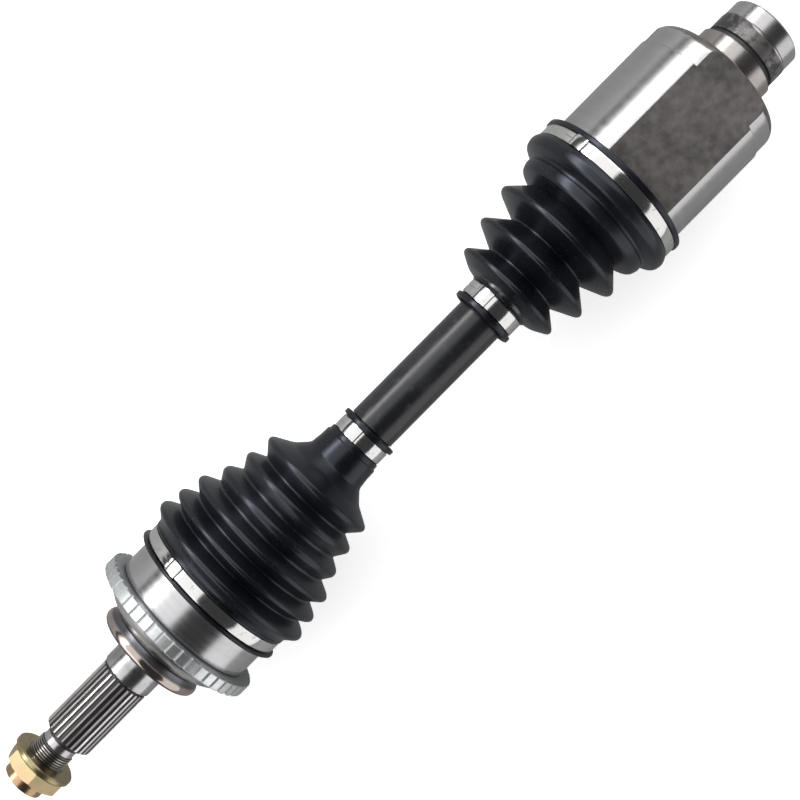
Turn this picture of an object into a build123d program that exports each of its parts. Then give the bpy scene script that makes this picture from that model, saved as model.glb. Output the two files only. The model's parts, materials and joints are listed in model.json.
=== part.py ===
"""Car drive axle: fixed ball joint at the wheel end, plunging tripod joint at the gearbox end.

Frame, in millimetres: the origin is the centre of the hub shoulder face, +X runs along the
axle to the gearbox end and +Z is up. Every rounded piece turns about the X axis.
"""
import os
from math import asin, cos, degrees, hypot, radians, sin, sqrt

from build123d import *

# ---- wheel stub -----------------------------------------------------------------------
thread_r = 11.0
thread_pitch = 1.5
thread_depth = 0.9
thread_flat = 0.2
stub_end_x = -92.2
spline_end_x = -59.6
thread_end_x = -64.8
thread_relief_r = 10.2
spline_chamfer = 3.4
stub_spline_tip_r = 15.2
stub_spline_root_r = 14.1
stub_spline_teeth = 28
pilot_r = 15.7
pilot_length = 11.0
shoulder_x = 5.7
shoulder_r = 32.5
shoulder_thickness = 6.6

# ---- axle nut -------------------------------------------------------------------------
nut_across_flats = 32.0
nut_flange_r = 19.0
nut_seat_x = -73.9
nut_flange_thickness = 3.8
nut_hex_length = 8.2
nut_collar_length = 6.3
nut_collar_r = 12.4
nut_turn = 27.0
nut_bore_gap = 0.1

# ---- ball joint -----------------------------------------------------------------------
outer_joint_x = 44.0
bell_r = 44.0
bell_mouth_x = 62.5
bell_seat_x = 52.2
bell_seat_r = 43.2
bell_mouth_r = 37.0
ball_r = 8.5
ball_pitch_r = 30.0
ball_count = 6
track_offset = 2.5
star_track_gap = 0.3
bell_track_gap = 0.4
cage_outer_r = 33.5
cage_wall = 4.9
sphere_gap = 0.3
cage_half_length = 14.0
cage_window_gap = 0.45
cage_window_width = 19.4
star_half_length = 12.0
bell_floor_gap = 27.0

# ---- tone ring ------------------------------------------------------------------------
tone_ring_x = 26.2
tone_ring_width = 7.6
tone_ring_r = 51.5
tone_ring_teeth = 48
tone_slot_width = 1.9
tone_slot_depth = 1.8

# ---- shaft ----------------------------------------------------------------------------
bar_r = 14.4
bar_start_x = 181.0
bar_end_x = 284.0
neck_r = 11.9
outer_boot_seat_r = 12.9
shaft_spline_tip_r = 12.4
shaft_spline_root_r = 11.5
shaft_spline_teeth = 26
shaft_shoulder_r = 13.9
shaft_end_past_ring = 3.0
spline_gap = 0.06
ring_thickness = 1.5
ring_outer_r = 13.8

# ---- tripod joint ---------------------------------------------------------------------
inner_joint_x = 408.0
spider_hub_r = 18.8
spider_half_length = 11.0
trunnion_r = 11.0
trunnion_tip_r = 36.0
trunnion_angles = (270, 30, 150)
roller_r = 19.0
roller_width = 13.0
roller_pitch_r = 26.0
roller_bore_gap = 0.1
needle_r = 1.1
needle_gap = 0.1
needles_per_roller = 32
washer_thickness = 0.8
clip_thickness = 1.1
axial_play = 0.1

# ---- tripod housing -------------------------------------------------------------------
housing_r = 44.8
housing_mouth_x = 361.0
housing_step_x = 435.2
housing_back_x = 452.0
housing_back_r = 43.8
housing_floor_x = 447.0
housing_flat = 38.2
housing_edge_fillet = 0.6
housing_back_fillet = 7.0
track_half_width = 19.75
track_outer_r = 39.4
track_corner_r = 6.0
cavity_core_r = 24.0
mouth_cone_r = 33.5
mouth_cone_depth = 24.0
stop_ring_x = 366.0
stop_ring_wire_r = 0.9
stop_ring_r = 35.0
sleeve_r = 24.4
sleeve_root_fillet = 5.0
sleeve_groove_x = 467.5
sleeve_groove_r = 21.8
sleeve_rough_r = 22.8
sleeve_journal_r = 22.4
sleeve_journal_x = 480.0
sleeve_end_x = 491.0
female_spline_teeth = 27
female_spline_root_r = 14.9
female_spline_tip_r = 13.7
female_lead_in_r = 15.4
female_lead_in_length = 6.0
cap_thickness = 3.0
cap_r = 17.0

# ---- boots and clamps -----------------------------------------------------------------
boot_wall = 2.2
boot_fold_r = 1.3
seat_gap = 0.05
outer_boot_lip_r = 49.0
outer_boot_small_lip_r = 17.7
outer_boot_folds = (
    (65.5, 48.6),
    (72.0, 54.2),
    (77.9, 44.0),
    (83.6, 51.2),
    (89.5, 42.0),
    (96.7, 48.7),
    (102.4, 38.8),
    (110.4, 42.4),
    (116.0, 34.6),
    (125.0, 38.8),
    (129.9, 30.2),
    (139.0, 36.4),
    (146.2, 25.0),
    (153.0, 18.6),
)
inner_boot_small_lip_r = 19.4
inner_boot_folds = (
    (282.2, 25.6),
    (288.0, 33.0),
    (297.5, 23.4),
    (306.0, 38.2),
    (318.0, 26.0),
    (326.0, 42.0),
    (338.0, 32.6),
    (342.6, 41.8),
    (347.0, 42.6),
    (349.8, 41.6),
    (353.4, 49.8),
    (358.6, 49.6),
)
outer_clamp_large_x = 55.2
outer_clamp_large_width = 6.6
outer_clamp_large_r = 47.0
outer_clamp_small_x = 169.6
outer_clamp_small_width = 7.6
outer_clamp_small_r = 16.1
inner_clamp_small_x = 271.0
inner_clamp_small_width = 8.6
inner_clamp_small_r = 18.0
inner_clamp_large_x = 361.6
inner_clamp_large_width = 6.6
inner_clamp_large_r = 48.4
inner_boot_end_x = 371.8
inner_boot_lip_r = 49.2
adapter_r = 46.4
band_thickness = 0.9
ear_height = 1.6
ear_width = 11.0
outer_large_ear_angle = 49.7
outer_small_ear_angle = 51.0
inner_small_ear_angle = 52.0
inner_large_ear_angle = 42.4


def turned(*corners, mode=Mode.ADD):
    """A solid turned about the X axis from its (x, radius) corners."""
    with BuildSketch(Plane.XZ) as profile:
        with BuildLine():
            Polyline(*corners, close=True)
        make_face()
    revolve(profile.sketch, axis=Axis.X, mode=mode)


def cross_plane(x):
    """The plane across the axle at x, with its own x along +Y and its own y along +Z."""
    return Plane(origin=(x, 0, 0), x_dir=(0, 1, 0), z_dir=(1, 0, 0))


def splined_bar(start_x, end_x, root_r, tip_r, teeth, mode=Mode.ADD):
    """A bar with straight spline teeth from start_x to end_x."""
    pitch = 2 * 3.14159265 * root_r / teeth
    with BuildSketch(cross_plane(start_x)) as section:
        Circle(root_r)
        with PolarLocations((root_r + tip_r) / 2 - 0.1, teeth):
            Trapezoid(0.62 * pitch, tip_r - root_r + 0.2, 66, rotation=-90)
    extrude(section.sketch, amount=end_x - start_x, mode=mode)


def ball_track(centre_x, gap, inner_angle, outer_angle):
    """The curved track tool for the ball at +Y, swept between two angles from straight up."""
    tilt = radians(inner_angle)
    start = Plane(
        origin=(centre_x, 0, 0),
        x_dir=(-sin(tilt), cos(tilt), 0),
        z_dir=(cos(tilt), sin(tilt), 0),
    )
    with BuildPart() as tool:
        with BuildSketch(start) as section:
            with Locations((hypot(ball_pitch_r, track_offset), 0)):
                Circle(ball_r + gap)
        revolve(
            section.sketch,
            axis=Axis((centre_x, 0, 0), (0, 0, -1)),
            revolution_arc=inner_angle + outer_angle,
        )
    return tool.part


def trunnion_plane(angle, radius):
    """The plane across one trunnion at a given distance from the axle's line."""
    outward = (0, cos(radians(angle)), sin(radians(angle)))
    centre = (inner_joint_x, radius * outward[1], radius * outward[2])
    return Plane(origin=centre, x_dir=(1, 0, 0), z_dir=outward)


def split_ring(start_x, inner_r, outer_r):
    """A flat snap ring with a gap at the top."""
    turned(
        (start_x, inner_r),
        (start_x + ring_thickness, inner_r),
        (start_x + ring_thickness, outer_r),
        (start_x, outer_r),
    )
    with Locations((start_x, 0, outer_r)):
        Box(4 * ring_thickness, 4, outer_r, mode=Mode.SUBTRACT)


def bellows(start_cuff, folds, end_cuff, start_seat_r, end_seat_r):
    """A rubber boot: two cuffs on their seats, joined by folds of even wall."""
    start = start_cuff[-1]
    end = end_cuff[0]
    inside = [(x, r - boot_wall) for x, r in folds]
    with BuildSketch(Plane.XZ) as profile:
        with BuildLine():
            outer = FilletPolyline(start, *folds, end, radius=boot_fold_r)
            inner = FilletPolyline(
                (start[0], start_seat_r), *inside, (end[0], end_seat_r), radius=boot_fold_r
            )
            Polyline(outer @ 0, *start_cuff[-2::-1], (start_cuff[0][0], start_seat_r), inner @ 0)
            Polyline(outer @ 1, *end_cuff[1:], (end_cuff[-1][0], end_seat_r), inner @ 1)
        make_face()
    revolve(profile.sketch, axis=Axis.X)


def clamp_band(start_x, width, outer_r, ear_angle):
    """A steel boot clamp: a thin band with its raised crimped ear."""
    turned(
        (start_x, outer_r - band_thickness),
        (start_x + width, outer_r - band_thickness),
        (start_x + width, outer_r),
        (start_x, outer_r),
    )
    outward = (0, cos(radians(ear_angle)), sin(radians(ear_angle)))
    foot_r = sqrt(outer_r**2 - (ear_width / 2) ** 2) - band_thickness / 2
    foot = (start_x + width / 2, foot_r * outward[1], foot_r * outward[2])
    with BuildSketch(Plane(origin=foot, x_dir=(1, 0, 0), z_dir=outward)) as ear:
        RectangleRounded(width, ear_width, 1.0)
    rise = outer_r + ear_height - foot_r
    extrude(ear.sketch, amount=rise, taper=8)
    turned(
        (start_x, 0),
        (start_x, outer_r - band_thickness),
        (start_x + width, outer_r - band_thickness),
        (start_x + width, 0),
        mode=Mode.SUBTRACT,
    )


# ---- outer race: bell and splined stub in one forging ------------------------------------
bell_rim_x = tone_ring_x + tone_ring_width
track_pitch_r = hypot(ball_pitch_r, track_offset)
bell_floor_x = outer_joint_x - bell_floor_gap
bell_bore_r = cage_outer_r + sphere_gap
shoulder_back_x = shoulder_x + shoulder_thickness
star_r = cage_outer_r - cage_wall - sphere_gap

thread_count = int((thread_end_x - stub_end_x - 1.4) / thread_pitch)
thread_start_x = stub_end_x + 1.4
thread_profile = [(stub_end_x, 0), (stub_end_x, thread_r - 1.4), (thread_start_x, thread_r)]
for index in range(thread_count):
    crest_x = thread_start_x + index * thread_pitch
    thread_profile.append((crest_x + thread_flat, thread_r))
    thread_profile.append((crest_x + thread_pitch / 2, thread_r - thread_depth))
    thread_profile.append((crest_x + thread_pitch - thread_flat, thread_r))
thread_profile += [
    (thread_end_x, thread_relief_r),
    (spline_end_x, thread_relief_r),
    (spline_end_x, 0),
]

with BuildPart() as outer_race:
    splined_bar(
        spline_end_x, -pilot_length, stub_spline_root_r, stub_spline_tip_r, stub_spline_teeth
    )
    turned(
        (spline_end_x, 0),
        (spline_end_x, thread_r - 0.3),
        (spline_end_x + spline_chamfer, stub_spline_tip_r + 0.1),
        (-pilot_length - 1.6, stub_spline_tip_r + 0.1),
        (-pilot_length, stub_spline_root_r - 0.4),
        (-pilot_length, 0),
        mode=Mode.INTERSECT,
    )
    turned(*thread_profile)
    turned(
        (-pilot_length, 0),
        (-pilot_length, pilot_r - 0.8),
        (-pilot_length + 0.8, pilot_r),
        (shoulder_x, pilot_r),
        (shoulder_x, shoulder_r - 2.6),
        (shoulder_x + 0.4, shoulder_r - 1.5),
        (shoulder_x + 1.2, shoulder_r - 0.5),
        (shoulder_x + 2.4, shoulder_r),
        (shoulder_x + 3.8, shoulder_r),
        (shoulder_x + 5.2, shoulder_r - 0.6),
        (shoulder_back_x, shoulder_r - 1.6),
        (shoulder_back_x + 1.2, shoulder_r - 2.1),
        (shoulder_back_x + 2.4, shoulder_r - 2.0),
        (shoulder_back_x + 3.4, shoulder_r - 1.0),
        (shoulder_back_x + 4.8, shoulder_r + 1.6),
        (shoulder_back_x + 6.4, shoulder_r + 4.6),
        (shoulder_back_x + 8.4, shoulder_r + 7.4),
        (shoulder_back_x + 10.8, bell_r - 2.4),
        (shoulder_back_x + 12.8, bell_r - 1.2),
        (tone_ring_x, bell_r),
        (bell_seat_x, bell_r),
        (bell_seat_x + 0.6, bell_seat_r),
        (bell_mouth_x - 1.0, bell_seat_r),
        (bell_mouth_x, bell_seat_r - 1.0),
        (bell_mouth_x, 0),
    )
    with BuildSketch(Plane.XZ) as hollow:
        with BuildLine():
            floor_r = sqrt(bell_bore_r**2 - bell_floor_gap**2)
            lip_x = outer_joint_x + 6.0
            lip_r = sqrt(bell_bore_r**2 - 6.0**2)
            Polyline(
                (lip_x, lip_r),
                (bell_mouth_x, bell_mouth_r),
                (bell_mouth_x, 0),
                (bell_floor_x, 0),
                (bell_floor_x, floor_r),
            )
            ThreePointArc(
                (bell_floor_x, floor_r), (outer_joint_x, bell_bore_r), (lip_x, lip_r)
            )
        make_face()
    revolve(hollow.sketch, axis=Axis.X, mode=Mode.SUBTRACT)
    bell_track = ball_track(outer_joint_x + track_offset, bell_track_gap, 44, 70)
    for index in range(ball_count):
        add(bell_track, rotation=(index * 360 / ball_count, 0, 0), mode=Mode.SUBTRACT)

# ---- tone ring for the wheel-speed sensor -------------------------------------------------
with BuildPart() as abs_tone_ring:
    turned(
        (tone_ring_x, bell_r + seat_gap),
        (bell_rim_x, bell_r + seat_gap),
        (bell_rim_x, tone_ring_r - 0.6),
        (bell_rim_x - 0.6, tone_ring_r),
        (tone_ring_x + 0.6, tone_ring_r),
        (tone_ring_x, tone_ring_r - 0.6),
    )
    with BuildSketch(cross_plane(tone_ring_x)) as slots:
        with PolarLocations(tone_ring_r, tone_ring_teeth):
            Rectangle(2 * tone_slot_depth, tone_slot_width)
    extrude(slots.sketch, amount=tone_ring_width, mode=Mode.SUBTRACT)

# ---- axle nut: flange, hexagon and staking collar -----------------------------------------
hex_start_x = nut_seat_x - nut_flange_thickness
hex_end_x = hex_start_x - nut_hex_length
hex_corner_r = nut_across_flats / sqrt(3)

with BuildPart() as axle_nut:
    with BuildSketch(cross_plane(hex_end_x)) as hexagon:
        RegularPolygon(nut_across_flats / 2, 6, major_radius=False, rotation=nut_turn)
    extrude(hexagon.sketch, amount=nut_hex_length)
    turned(
        (hex_end_x, 0),
        (hex_end_x, hex_corner_r - 2.4),
        (hex_end_x + 1.4, hex_corner_r),
        (hex_start_x, hex_corner_r),
        (hex_start_x, 0),
        mode=Mode.INTERSECT,
    )
    turned(
        (hex_start_x, 0),
        (hex_start_x, nut_flange_r - 1.0),
        (hex_start_x + 1.0, nut_flange_r),
        (nut_seat_x - 0.8, nut_flange_r),
        (nut_seat_x, nut_flange_r - 0.8),
        (nut_seat_x, 0),
    )
    turned(
        (hex_end_x - nut_collar_length, 0),
        (hex_end_x - nut_collar_length, nut_collar_r),
        (hex_end_x, nut_collar_r),
        (hex_end_x, 0),
    )
    turned(
        (hex_end_x - nut_collar_length, 0),
        (hex_end_x - nut_collar_length, thread_r + nut_bore_gap),
        (nut_seat_x, thread_r + nut_bore_gap),
        (nut_seat_x, 0),
        mode=Mode.SUBTRACT,
    )

# ---- inner race, cage and balls -----------------------------------------------------------
star_start_x = outer_joint_x - star_half_length
star_end_x = outer_joint_x + star_half_length

with BuildPart() as inner_race:
    with Locations((outer_joint_x, 0, 0)):
        Sphere(star_r)
        Box(2 * star_half_length, 2 * star_r, 2 * star_r, mode=Mode.INTERSECT)
    star_track = ball_track(outer_joint_x - track_offset, star_track_gap, 50, 50)
    for index in range(ball_count):
        add(star_track, rotation=(index * 360 / ball_count, 0, 0), mode=Mode.SUBTRACT)
    splined_bar(
        star_start_x,
        star_end_x,
        shaft_spline_root_r + spline_gap,
        shaft_spline_tip_r + spline_gap,
        shaft_spline_teeth,
        mode=Mode.SUBTRACT,
    )

with BuildPart() as ball_cage:
    with Locations((outer_joint_x, 0, 0)):
        Sphere(cage_outer_r)
        Sphere(cage_outer_r - cage_wall, mode=Mode.SUBTRACT)
        Box(2 * cage_half_length, 2 * cage_outer_r, 2 * cage_outer_r, mode=Mode.INTERSECT)
    for index in range(ball_count):
        turn = radians(index * 360 / ball_count)
        outward = (0, cos(turn), sin(turn))
        with BuildSketch(Plane((outer_joint_x, 0, 0), (1, 0, 0), outward)) as window:
            RectangleRounded(2 * (ball_r + cage_window_gap), cage_window_width, 4)
        extrude(window.sketch, amount=cage_outer_r + 1, mode=Mode.SUBTRACT)

balls = []
for index in range(ball_count):
    turn = radians(index * 360 / ball_count)
    centre = (outer_joint_x, ball_pitch_r * cos(turn), ball_pitch_r * sin(turn))
    with BuildPart() as ball:
        with Locations(centre):
            Sphere(ball_r)
    ball.part.label = f"ball_{index + 1}"
    balls.append(ball.part)

# ---- shaft --------------------------------------------------------------------------------
outer_ring_x = star_start_x - axial_play - ring_thickness
inner_ring_x = inner_joint_x + spider_half_length + axial_play
shaft_start_x = outer_ring_x - shaft_end_past_ring
shaft_end_x = inner_ring_x + ring_thickness + shaft_end_past_ring
spider_start_x = inner_joint_x - spider_half_length
ring_groove_r = ring_outer_r - ring_thickness - 1.3

with BuildPart() as axle_shaft:
    splined_bar(
        shaft_start_x,
        star_end_x + axial_play,
        shaft_spline_root_r,
        shaft_spline_tip_r,
        shaft_spline_teeth,
    )
    splined_bar(
        spider_start_x - axial_play,
        shaft_end_x,
        shaft_spline_root_r,
        shaft_spline_tip_r,
        shaft_spline_teeth,
    )
    turned(
        (star_end_x + axial_play, 0),
        (star_end_x + axial_play, shaft_shoulder_r),
        (star_end_x + 3, shaft_shoulder_r),
        (star_end_x + 6, neck_r),
        (outer_clamp_small_x - 16, neck_r),
        (outer_clamp_small_x - 14, outer_boot_seat_r),
        (bar_start_x, outer_boot_seat_r),
        (bar_start_x + 0.6, bar_r),
        (bar_end_x, bar_r),
        (bar_end_x + 12, neck_r),
        (spider_start_x - 6, neck_r),
        (spider_start_x - 3, shaft_shoulder_r),
        (spider_start_x - axial_play, shaft_shoulder_r),
        (spider_start_x - axial_play, 0),
    )
    for groove_x in (outer_ring_x, inner_ring_x):
        turned(
            (groove_x - 0.05, ring_groove_r),
            (groove_x + ring_thickness + 0.05, ring_groove_r),
            (groove_x + ring_thickness + 0.05, shaft_spline_tip_r + 1),
            (groove_x - 0.05, shaft_spline_tip_r + 1),
            mode=Mode.SUBTRACT,
        )

with BuildPart() as inner_race_circlip:
    split_ring(outer_ring_x, ring_groove_r + seat_gap, ring_outer_r)

with BuildPart() as spider_snap_ring:
    split_ring(inner_ring_x, ring_groove_r + seat_gap, ring_outer_r)

# ---- tripod spider and its three rollers --------------------------------------------------
roller_bore_r = trunnion_r + 2 * needle_r + needle_gap + roller_bore_gap
roller_face_r = roller_pitch_r + roller_width / 2
washer_r = roller_face_r + axial_play
clip_r = washer_r + washer_thickness + axial_play

with BuildPart() as tripod_spider:
    turned(
        (spider_start_x, 0),
        (spider_start_x, spider_hub_r - 1.5),
        (spider_start_x + 1.5, spider_hub_r),
        (inner_joint_x + spider_half_length - 1.5, spider_hub_r),
        (inner_joint_x + spider_half_length, spider_hub_r - 1.5),
        (inner_joint_x + spider_half_length, 0),
    )
    for angle in trunnion_angles:
        with BuildSketch(trunnion_plane(angle, 0)) as trunnion:
            Circle(trunnion_r)
        extrude(trunnion.sketch, amount=trunnion_tip_r)
        with BuildSketch(trunnion_plane(angle, clip_r - 0.05)) as clip_groove:
            Circle(trunnion_r + 1)
            Circle(trunnion_r - 0.8, mode=Mode.SUBTRACT)
        extrude(clip_groove.sketch, amount=clip_thickness + 0.1, mode=Mode.SUBTRACT)
    splined_bar(
        spider_start_x,
        inner_joint_x + spider_half_length,
        shaft_spline_root_r + spline_gap,
        shaft_spline_tip_r + spline_gap,
        shaft_spline_teeth,
        mode=Mode.SUBTRACT,
    )

tripod_pieces = []
for number, angle in enumerate(trunnion_angles, start=1):
    with BuildPart(trunnion_plane(angle, roller_pitch_r)) as roller:
        Cylinder(roller_r, roller_width)
        Sphere(roller_r, mode=Mode.INTERSECT)
        Cylinder(roller_bore_r, roller_width, mode=Mode.SUBTRACT)
    roller.part.label = f"roller_{number}"

    with BuildPart(trunnion_plane(angle, roller_pitch_r)) as needles:
        with PolarLocations(trunnion_r + needle_gap + needle_r, needles_per_roller):
            Cylinder(needle_r, roller_width - 1.0)
    needles.part.label = f"needle_rollers_{number}"

    with BuildPart() as washer:
        with BuildSketch(trunnion_plane(angle, washer_r)):
            Circle(roller_bore_r + 2)
            Circle(trunnion_r + seat_gap, mode=Mode.SUBTRACT)
        extrude(amount=washer_thickness)
    washer.part.label = f"roller_washer_{number}"

    with BuildPart() as clip:
        with BuildSketch(trunnion_plane(angle, clip_r)):
            Circle(trunnion_r + 1.4)
            Circle(trunnion_r - 0.8 + seat_gap, mode=Mode.SUBTRACT)
            with Locations((trunnion_r, 0)):
                Rectangle(5, 3, mode=Mode.SUBTRACT)
        extrude(amount=clip_thickness)
    clip.part.label = f"roller_clip_{number}"
    tripod_pieces += [roller.part, needles.part, washer.part, clip.part]

# ---- tripod housing -----------------------------------------------------------------------
flat_half_angle = 90 - degrees(asin(housing_flat / housing_r))


def housing_section(round_r, flat):
    """The housing's outside: a round bar with three flats between its lobes."""
    with BuildSketch() as section:
        Circle(round_r)
        with PolarLocations(flat + round_r, 3, start_angle=90):
            Rectangle(2 * round_r, 4 * round_r, mode=Mode.SUBTRACT)
        fillet(section.vertices(), housing_edge_fillet)
    return section.sketch


with BuildPart() as tripod_housing:
    with BuildSketch(cross_plane(housing_mouth_x)):
        add(housing_section(housing_r, housing_flat))
    extrude(amount=housing_back_x - housing_mouth_x)
    with BuildSketch(Plane.XZ) as envelope:
        with BuildLine():
            Polyline(
                (housing_back_x - housing_back_fillet, housing_back_r),
                (housing_step_x + 0.5, housing_back_r),
                (housing_step_x, housing_r + 0.1),
                (housing_mouth_x, housing_r + 0.1),
                (housing_mouth_x, 0),
                (housing_back_x, 0),
                (housing_back_x, housing_back_r - housing_back_fillet),
            )
            RadiusArc(
                (housing_back_x, housing_back_r - housing_back_fillet),
                (housing_back_x - housing_back_fillet, housing_back_r),
                -housing_back_fillet,
            )
        make_face()
    revolve(envelope.sketch, axis=Axis.X, mode=Mode.INTERSECT)
    with BuildSketch(Plane.XZ) as sleeve:
        with BuildLine():
            Polyline(
                (housing_back_x + sleeve_root_fillet, sleeve_r),
                (sleeve_groove_x - 1.0, sleeve_r),
                (sleeve_groove_x, sleeve_groove_r),
                (sleeve_groove_x + 2.0, sleeve_groove_r),
                (sleeve_groove_x + 2.7, sleeve_rough_r),
                (sleeve_journal_x - 0.4, sleeve_rough_r),
                (sleeve_journal_x, sleeve_journal_r),
                (sleeve_end_x - 1.2, sleeve_journal_r),
                (sleeve_end_x, sleeve_journal_r - 1.2),
                (sleeve_end_x, 0),
                (housing_floor_x, 0),
                (housing_floor_x, sleeve_r + sleeve_root_fillet),
                (housing_back_x, sleeve_r + sleeve_root_fillet),
            )
            RadiusArc((housing_back_x, sleeve_r + 5.0), (housing_back_x + 5.0, sleeve_r), 5.0)
        make_face()
    revolve(sleeve.sketch, axis=Axis.X)
    with BuildSketch(cross_plane(housing_mouth_x)) as cavity:
        Circle(cavity_core_r)
        with PolarLocations(track_outer_r / 2, 3, start_angle=30):
            Rectangle(track_outer_r, 2 * track_half_width)
        fillet(
            [v for v in cavity.vertices() if hypot(v.Y, v.Z) > cavity_core_r + 1],
            track_corner_r,
        )
    extrude(cavity.sketch, amount=housing_floor_x - housing_mouth_x, mode=Mode.SUBTRACT)
    turned(
        (housing_mouth_x, 0),
        (housing_mouth_x, mouth_cone_r),
        (housing_mouth_x + mouth_cone_depth, cavity_core_r - 0.5),
        (housing_mouth_x + mouth_cone_depth, 0),
        mode=Mode.SUBTRACT,
    )
    turned(
        (stop_ring_x - stop_ring_wire_r - 0.1, stop_ring_r - 3),
        (stop_ring_x + stop_ring_wire_r + 0.1, stop_ring_r - 3),
        (stop_ring_x + stop_ring_wire_r + 0.1, stop_ring_r + stop_ring_wire_r + 0.1),
        (stop_ring_x - stop_ring_wire_r - 0.1, stop_ring_r + stop_ring_wire_r + 0.1),
        mode=Mode.SUBTRACT,
    )
    turned(
        (housing_floor_x, 0),
        (housing_floor_x, cap_r),
        (housing_floor_x + cap_thickness, cap_r),
        (housing_floor_x + cap_thickness, 0),
        mode=Mode.SUBTRACT,
    )
    splined_bar(
        housing_floor_x + cap_thickness,
        sleeve_end_x,
        female_spline_tip_r,
        female_spline_root_r,
        female_spline_teeth,
        mode=Mode.SUBTRACT,
    )
    turned(
        (sleeve_end_x - female_lead_in_length, 0),
        (sleeve_end_x - female_lead_in_length, female_lead_in_r),
        (sleeve_end_x - 0.8, female_lead_in_r),
        (sleeve_end_x, female_lead_in_r + 0.8),
        (sleeve_end_x, 0),
        mode=Mode.SUBTRACT,
    )

with BuildPart() as housing_stop_ring:
    with BuildSketch(Plane.XZ):
        with Locations((stop_ring_x, stop_ring_r)):
            Circle(stop_ring_wire_r)
    revolve(axis=Axis.X)
    with Locations((stop_ring_x, 0, stop_ring_r)):
        Box(8, 6, 8, mode=Mode.SUBTRACT)

with BuildPart() as housing_end_cap:
    turned(
        (housing_floor_x + 0.2, 0),
        (housing_floor_x + 0.2, cap_r - seat_gap),
        (housing_floor_x + cap_thickness - 0.2, cap_r - seat_gap),
        (housing_floor_x + cap_thickness - 0.2, cap_r - 1.2),
        (housing_floor_x + 1.4, cap_r - 1.2),
        (housing_floor_x + 1.4, 0),
    )

# ---- boots and their clamps ---------------------------------------------------------------
outer_band_seat_r = outer_clamp_large_r - band_thickness - seat_gap
outer_band_end_x = outer_clamp_large_x + outer_clamp_large_width
outer_neck_seat_r = outer_clamp_small_r - band_thickness - seat_gap
outer_neck_end_x = outer_clamp_small_x + outer_clamp_small_width

with BuildPart() as outer_boot:
    bellows(
        [
            (bell_seat_x + 0.7, outer_boot_lip_r),
            (outer_clamp_large_x - 0.7, outer_boot_lip_r),
            (outer_clamp_large_x - 0.2, outer_band_seat_r),
            (outer_band_end_x + 0.3, outer_band_seat_r),
        ],
        outer_boot_folds,
        [
            (outer_clamp_small_x - 0.2, outer_neck_seat_r),
            (outer_neck_end_x + 0.2, outer_neck_seat_r),
            (outer_neck_end_x + 0.8, outer_boot_small_lip_r),
            (bar_start_x - 0.2, outer_boot_small_lip_r),
        ],
        bell_seat_r + seat_gap,
        outer_boot_seat_r + seat_gap,
    )

with BuildPart() as outer_boot_large_clamp:
    clamp_band(
        outer_clamp_large_x, outer_clamp_large_width, outer_clamp_large_r, outer_large_ear_angle
    )

with BuildPart() as outer_boot_small_clamp:
    clamp_band(
        outer_clamp_small_x, outer_clamp_small_width, outer_clamp_small_r, outer_small_ear_angle
    )

inner_band_seat_r = inner_clamp_large_r - band_thickness - seat_gap
inner_band_end_x = inner_clamp_large_x + inner_clamp_large_width
inner_neck_seat_r = inner_clamp_small_r - band_thickness - seat_gap
inner_neck_end_x = inner_clamp_small_x + inner_clamp_small_width

with BuildPart() as inner_boot:
    bellows(
        [
            (inner_clamp_small_x - 4.2, inner_boot_small_lip_r),
            (inner_clamp_small_x - 0.9, inner_boot_small_lip_r),
            (inner_clamp_small_x - 0.2, inner_neck_seat_r),
            (inner_neck_end_x + 0.2, inner_neck_seat_r),
        ],
        inner_boot_folds,
        [
            (inner_clamp_large_x - 0.2, inner_band_seat_r),
            (inner_band_end_x + 0.2, inner_band_seat_r),
            (inner_band_end_x + 0.7, inner_boot_lip_r),
            (inner_boot_end_x, inner_boot_lip_r),
        ],
        bar_r + seat_gap,
        adapter_r + seat_gap,
    )

with BuildPart() as inner_boot_adapter:
    with BuildSketch(cross_plane(housing_mouth_x + 0.5)):
        Circle(adapter_r)
        add(
            housing_section(housing_r + seat_gap, housing_flat + seat_gap),
            mode=Mode.SUBTRACT,
        )
    extrude(amount=inner_boot_end_x - housing_mouth_x - 1.0)

with BuildPart() as inner_boot_large_clamp:
    clamp_band(
        inner_clamp_large_x, inner_clamp_large_width, inner_clamp_large_r, inner_large_ear_angle
    )

with BuildPart() as inner_boot_small_clamp:
    clamp_band(
        inner_clamp_small_x, inner_clamp_small_width, inner_clamp_small_r, inner_small_ear_angle
    )

# ---- labels and files ---------------------------------------------------------------------
outer_race.part.label = "outer_race"
abs_tone_ring.part.label = "abs_tone_ring"
axle_nut.part.label = "axle_nut"
inner_race.part.label = "inner_race"
ball_cage.part.label = "ball_cage"
axle_shaft.part.label = "axle_shaft"
inner_race_circlip.part.label = "inner_race_circlip"
spider_snap_ring.part.label = "spider_snap_ring"
tripod_spider.part.label = "tripod_spider"
tripod_housing.part.label = "tripod_housing"
housing_stop_ring.part.label = "housing_stop_ring"
housing_end_cap.part.label = "housing_end_cap"
outer_boot.part.label = "outer_boot"
outer_boot_large_clamp.part.label = "outer_boot_large_clamp"
outer_boot_small_clamp.part.label = "outer_boot_small_clamp"
inner_boot.part.label = "inner_boot"
inner_boot_adapter.part.label = "inner_boot_adapter"
inner_boot_large_clamp.part.label = "inner_boot_large_clamp"
inner_boot_small_clamp.part.label = "inner_boot_small_clamp"

pieces = [
    outer_race.part,
    abs_tone_ring.part,
    axle_nut.part,
    inner_race.part,
    ball_cage.part,
    axle_shaft.part,
    inner_race_circlip.part,
    spider_snap_ring.part,
    tripod_spider.part,
    tripod_housing.part,
    housing_stop_ring.part,
    housing_end_cap.part,
    outer_boot.part,
    outer_boot_large_clamp.part,
    outer_boot_small_clamp.part,
    inner_boot.part,
    inner_boot_adapter.part,
    inner_boot_large_clamp.part,
    inner_boot_small_clamp.part,
]
pieces += balls
pieces += tripod_pieces

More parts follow.
